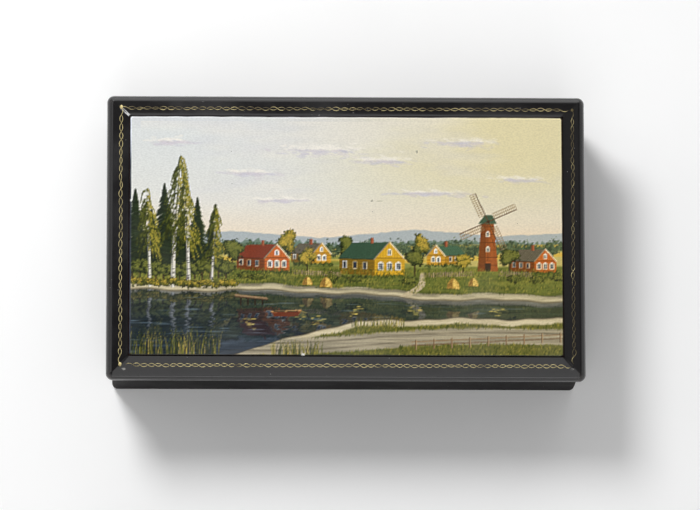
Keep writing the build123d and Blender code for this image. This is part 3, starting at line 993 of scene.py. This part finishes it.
paint_sky()
paint_far_country()
for x, y, size in ((35, -8.4, 1.0), (60, -8.6, 1.1), (-33, -8.2, 1.0)):
    paint_haystack(x, y, size)
paint_village()
paint_bank()
paint_grass()
for x, y, size in ((-7, -18.2, 2.2), (-13.5, -17.4, 1.8), (37, -18.6, 2.3), (44, -17.6, 1.8)):
    paint_haystack(x, y, size)
paint_grove()
paint_river()
paint_near_bank()
paint_jetty(-38.5, -20.6)
paint_boat(-21, -27.4)
paint_rails(24, -39.4, 74, -36.6, 9)
paint_reeds(-75, -44, -41.5, 9.5, 150)
paint_reeds(-26, -8, -41.5, 5.0, 100)
paint_reeds(2, 20, -31.5, 3.2, 70)
paint_wear_and_edge_highlight()

EDGE_ROUND, EDGE_STEPS = 0.4, 4
PANEL_CORNER = 0.8
GRID_ACROSS, GRID_UP = 400, 224
flat_x, flat_y = PANEL_WIDE / 2 - EDGE_ROUND, PANEL_HIGH / 2 - EDGE_ROUND


def point_places(mesh):
    """Where the points of a mesh lie, in metres."""
    places = np.empty(len(mesh.vertices) * 3)
    mesh.vertices.foreach_get("co", places)
    return places.reshape(-1, 3)


bpy.ops.object.select_all(action="DESELECT")
bpy.ops.mesh.primitive_grid_add(x_subdivisions=GRID_ACROSS, y_subdivisions=GRID_UP, size=2)
panel = bpy.context.object
panel.name = "painted_picture"
resize_mesh((flat_x * MM, flat_y * MM, 1))
bpy.ops.transform.translate(value=(0, 0, PANEL_TOP * MM))
bpy.ops.object.mode_set(mode="OBJECT")
places = point_places(panel.data)
into_x = np.clip((np.abs(places[:, 0]) / MM - flat_x) / PANEL_CORNER + 1, 0, 1)
into_y = np.clip((np.abs(places[:, 1]) / MM - flat_y) / PANEL_CORNER + 1, 0, 1)
places[:, 0] -= np.sign(places[:, 0]) * PANEL_CORNER * MM * into_x * (1 - np.sqrt(1 - into_y**2 / 2))
places[:, 1] -= np.sign(places[:, 1]) * PANEL_CORNER * MM * into_y * (1 - np.sqrt(1 - into_x**2 / 2))
panel.data.vertices.foreach_set("co", places.ravel())
panel.data.update()
bpy.ops.object.mode_set(mode="EDIT")
bpy.ops.mesh.select_mode(type="EDGE")
bpy.ops.mesh.select_all(action="SELECT")
bpy.ops.mesh.region_to_loop()
last_out, last_down = 0.0, 0.0
for step in range(1, EDGE_STEPS + 1):
    turn = math.radians(90) * step / EDGE_STEPS
    out, down = EDGE_ROUND * math.sin(turn), EDGE_ROUND * (1 - math.cos(turn))
    bpy.ops.mesh.extrude_edges_move(TRANSFORM_OT_translate={"value": (0, 0, (last_down - down) * MM)})
    bpy.ops.transform.resize(
        value=((flat_x + out) / (flat_x + last_out), (flat_y + out) / (flat_y + last_out), 1),
        center_override=(0, 0, 0))
    last_out, last_down = out, down
rest_down = PANEL_TOP - EDGE_ROUND - PANEL_FOOT
bpy.ops.mesh.extrude_edges_move(TRANSFORM_OT_translate={"value": (0, 0, -rest_down * MM)})
bpy.ops.mesh.edge_face_add()
bpy.ops.mesh.select_all(action="SELECT")
bpy.ops.mesh.normals_make_consistent(inside=False)
bpy.ops.object.mode_set(mode="OBJECT")
bpy.ops.object.shade_smooth_by_angle(angle=math.radians(35))


def spread_out(reach):
    """The canvas with each place averaged over its neighbours."""
    steps = range(-reach, reach + 1)
    return sum(np.roll(canvas, (i, j), (0, 1)) for i in steps for j in steps) / len(steps)**2


near, wide = spread_out(1), spread_out(4)
crisp = near + 0.6 * (near - wide)
places = point_places(panel.data) / MM
column = np.clip(((places[:, 0] + PANEL_WIDE / 2) * PER_MM).astype(int), 1, COLUMNS - 2)
row = np.clip(((PANEL_HIGH / 2 - places[:, 1]) * PER_MM).astype(int), 1, ROWS - 2)
seen = np.clip(crisp[row, column], 0, 1)
linear = np.where(seen > 0.04045, ((seen + 0.055) / 1.055) ** 2.4, seen / 12.92)
linear[places[:, 2] < PANEL_TOP - 0.2] = LACQUER_BLACK[:3]
chipped = np.hypot((places[:, 0] + 15.0) / 0.60, (places[:, 1] + 42.0) / 0.75) < 1
linear[chipped] = (0.82, 0.81, 0.77)
colours = panel.data.color_attributes.new("picture", "FLOAT_COLOR", "POINT")
colours.data.foreach_set("color", np.hstack([linear, np.ones((len(linear), 1))]).ravel())


HAZE, DARK_DUST = (0.55, 0.55, 0.52, 1), (0.10, 0.09, 0.08, 1)
VARNISH_ROUGH = (0.22, 0.36)


def varnished_paint():
    """Oil paint under varnish: the strokes stand up a little, and dust lies on it."""
    look, shader = start_look("varnished_oil_paint")
    painted = add(look, "Attribute", attribute_name="picture").outputs["Color"]
    strokes = patches(look, 0.45, (0.6, 1, 1), 3.0)
    light = fade(look, strokes, 0.3, 0.7, 0.93, 1.07)
    shaded = add(look, "VectorMath", {0: painted, "Scale": light}, operation="SCALE").outputs["Vector"]
    colour = lay_over(look, blotches(look, 26, 0.38, 0.70, 0.0, 0.035), shaded, HAZE)
    dust = specks(look, 4.5, 0.13, 0.25)
    colour = lay_over(look, dust, colour, DARK_DUST)
    rough = blotches(look, 9, 0.35, 0.68, *VARNISH_ROUGH)
    relief = bump(look, strokes, 0.6, 0.012)
    feed(look, shader, {"Base Color": colour, "Roughness": rough, "Normal": relief,
                        "Specular IOR Level": 0.15, "Coat Weight": 0.35, "Coat Roughness": 0.07})
    return look


panel.data.materials.append(varnished_paint())
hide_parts("picture_panel")
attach(panel, "lid")


# Floor, lights and camera
# A pale floor, one soft main light at the back left, and weaker panels in front, behind and at the sides.
# The camera looks down from in front, a little from the left, from far off.
FLOOR_PALE, FLOOR_SHADE, FLOOR_ROUGH = (0.97, 0.97, 0.97, 1), (0.95, 0.95, 0.95, 1), (0.65, 0.75)


def floor_paint():
    look, shader = start_look("pale_floor")
    tone = blotches(look, 60, 0.3, 0.7, detail=3.0)
    colour = lay_over(look, tone, FLOOR_PALE, FLOOR_SHADE)
    rough = fade(look, tone, 0, 1, *FLOOR_ROUGH)
    feed(look, shader, {"Base Color": colour, "Roughness": rough, "Specular IOR Level": 0.1})
    return look


bpy.ops.object.select_all(action="DESELECT")
bpy.ops.mesh.primitive_circle_add(vertices=96, radius=4.0, fill_type="NGON")
floor = bpy.context.object
floor.name = "floor"
floor.data.materials.append(floor_paint())


def soft_panel(name, place, wide, high, brightness, round_shape=False):
    """A light panel that faces the box, as bright as a surface of that value."""
    light = bpy.data.lights.new(name, "AREA")
    light.shape = "ELLIPSE" if round_shape else "RECTANGLE"
    light.size, light.size_y = wide, high
    area = wide * high * (math.pi / 4 if round_shape else 1)
    light.energy = brightness * math.pi * area
    lamp = bpy.data.objects.new(name, light)
    lamp.location = place
    lamp.rotation_euler = (Vector((0, 0, 0.03)) - Vector(place)).to_track_quat("-Z", "Y").to_euler()
    lamp.visible_camera = False
    bpy.context.collection.objects.link(lamp)


soft_panel("main_light", (-0.394, 0.551, 0.739), 0.36, 0.36, 21.2, True)
soft_panel("front_panel", (0.0, -0.72, 0.86), 0.70, 1.10, 1.30)
soft_panel("low_front_panel", (0.0, -1.20, 0.17), 0.90, 0.22, 1.9)
soft_panel("back_panel", (0.0, 1.10, 0.42), 1.50, 0.76, 1.5)
soft_panel("left_panel", (-1.05, 0.25, 0.72), 0.60, 0.30, 1.3)
soft_panel("right_panel", (0.62, 0.22, 1.00), 0.70, 0.70, 0.25)

# The surroundings are bright near the floor and darker overhead.
SKY_HEIGHTS, SKY_LEVELS = (0.20, 0.60), (1.0, 0.10)
world = bpy.data.worlds.new("studio")
bpy.context.scene.world = world
world.use_nodes = True
direction = add(world, "TexCoord").outputs["Generated"]
upness = add(world, "SeparateXYZ", {"Vector": direction}).outputs["Z"]
brightness = fade(world, upness, *SKY_HEIGHTS, *SKY_LEVELS)
feed(world, world.node_tree.nodes["Background"], {"Color": (1, 1, 1, 1), "Strength": brightness})

# The camera's tilts are from straight above; its aim lies some pixels off the middle of the lid.
PHOTO_WIDE = 700
FOCAL_PIXELS = 6500
EYE_DISTANCE = 2252.2
LID_LEVEL = 36.1
LEFT_TILT, FRONT_TILT, TURN = math.radians(1.588), math.radians(10.484), math.radians(0.055)
AIM_RIGHT, AIM_DOWN = 3.86, 18.42
lid_middle = Vector((0, 0, LID_LEVEL * MM))
to_eye = Vector((-math.tan(LEFT_TILT), -math.tan(FRONT_TILT), 1)).normalized()
eye = lid_middle + to_eye * EYE_DISTANCE * MM
turned_up = Vector((math.sin(TURN), math.cos(TURN), 0))
pixel = EYE_DISTANCE / FOCAL_PIXELS * MM
right = turned_up.cross(to_eye).normalized()
above = to_eye.cross(right)
aim = lid_middle + right * AIM_RIGHT * pixel - above * AIM_DOWN * pixel
backward = (eye - aim).normalized()
right = turned_up.cross(backward).normalized()
above = backward.cross(right)
lens = bpy.data.cameras.new("camera")
lens.sensor_fit = "HORIZONTAL"
lens.sensor_width = 36.0
lens.lens = FOCAL_PIXELS * lens.sensor_width / PHOTO_WIDE
lens.clip_start, lens.clip_end = 0.05, 20.0
camera = bpy.data.objects.new("camera", lens)
camera.matrix_world = Matrix((right, above, backward)).transposed().to_4x4()
camera.location = eye
bpy.context.collection.objects.link(camera)
bpy.context.scene.camera = camera
bpy.context.scene.view_settings.view_transform = "Standard"
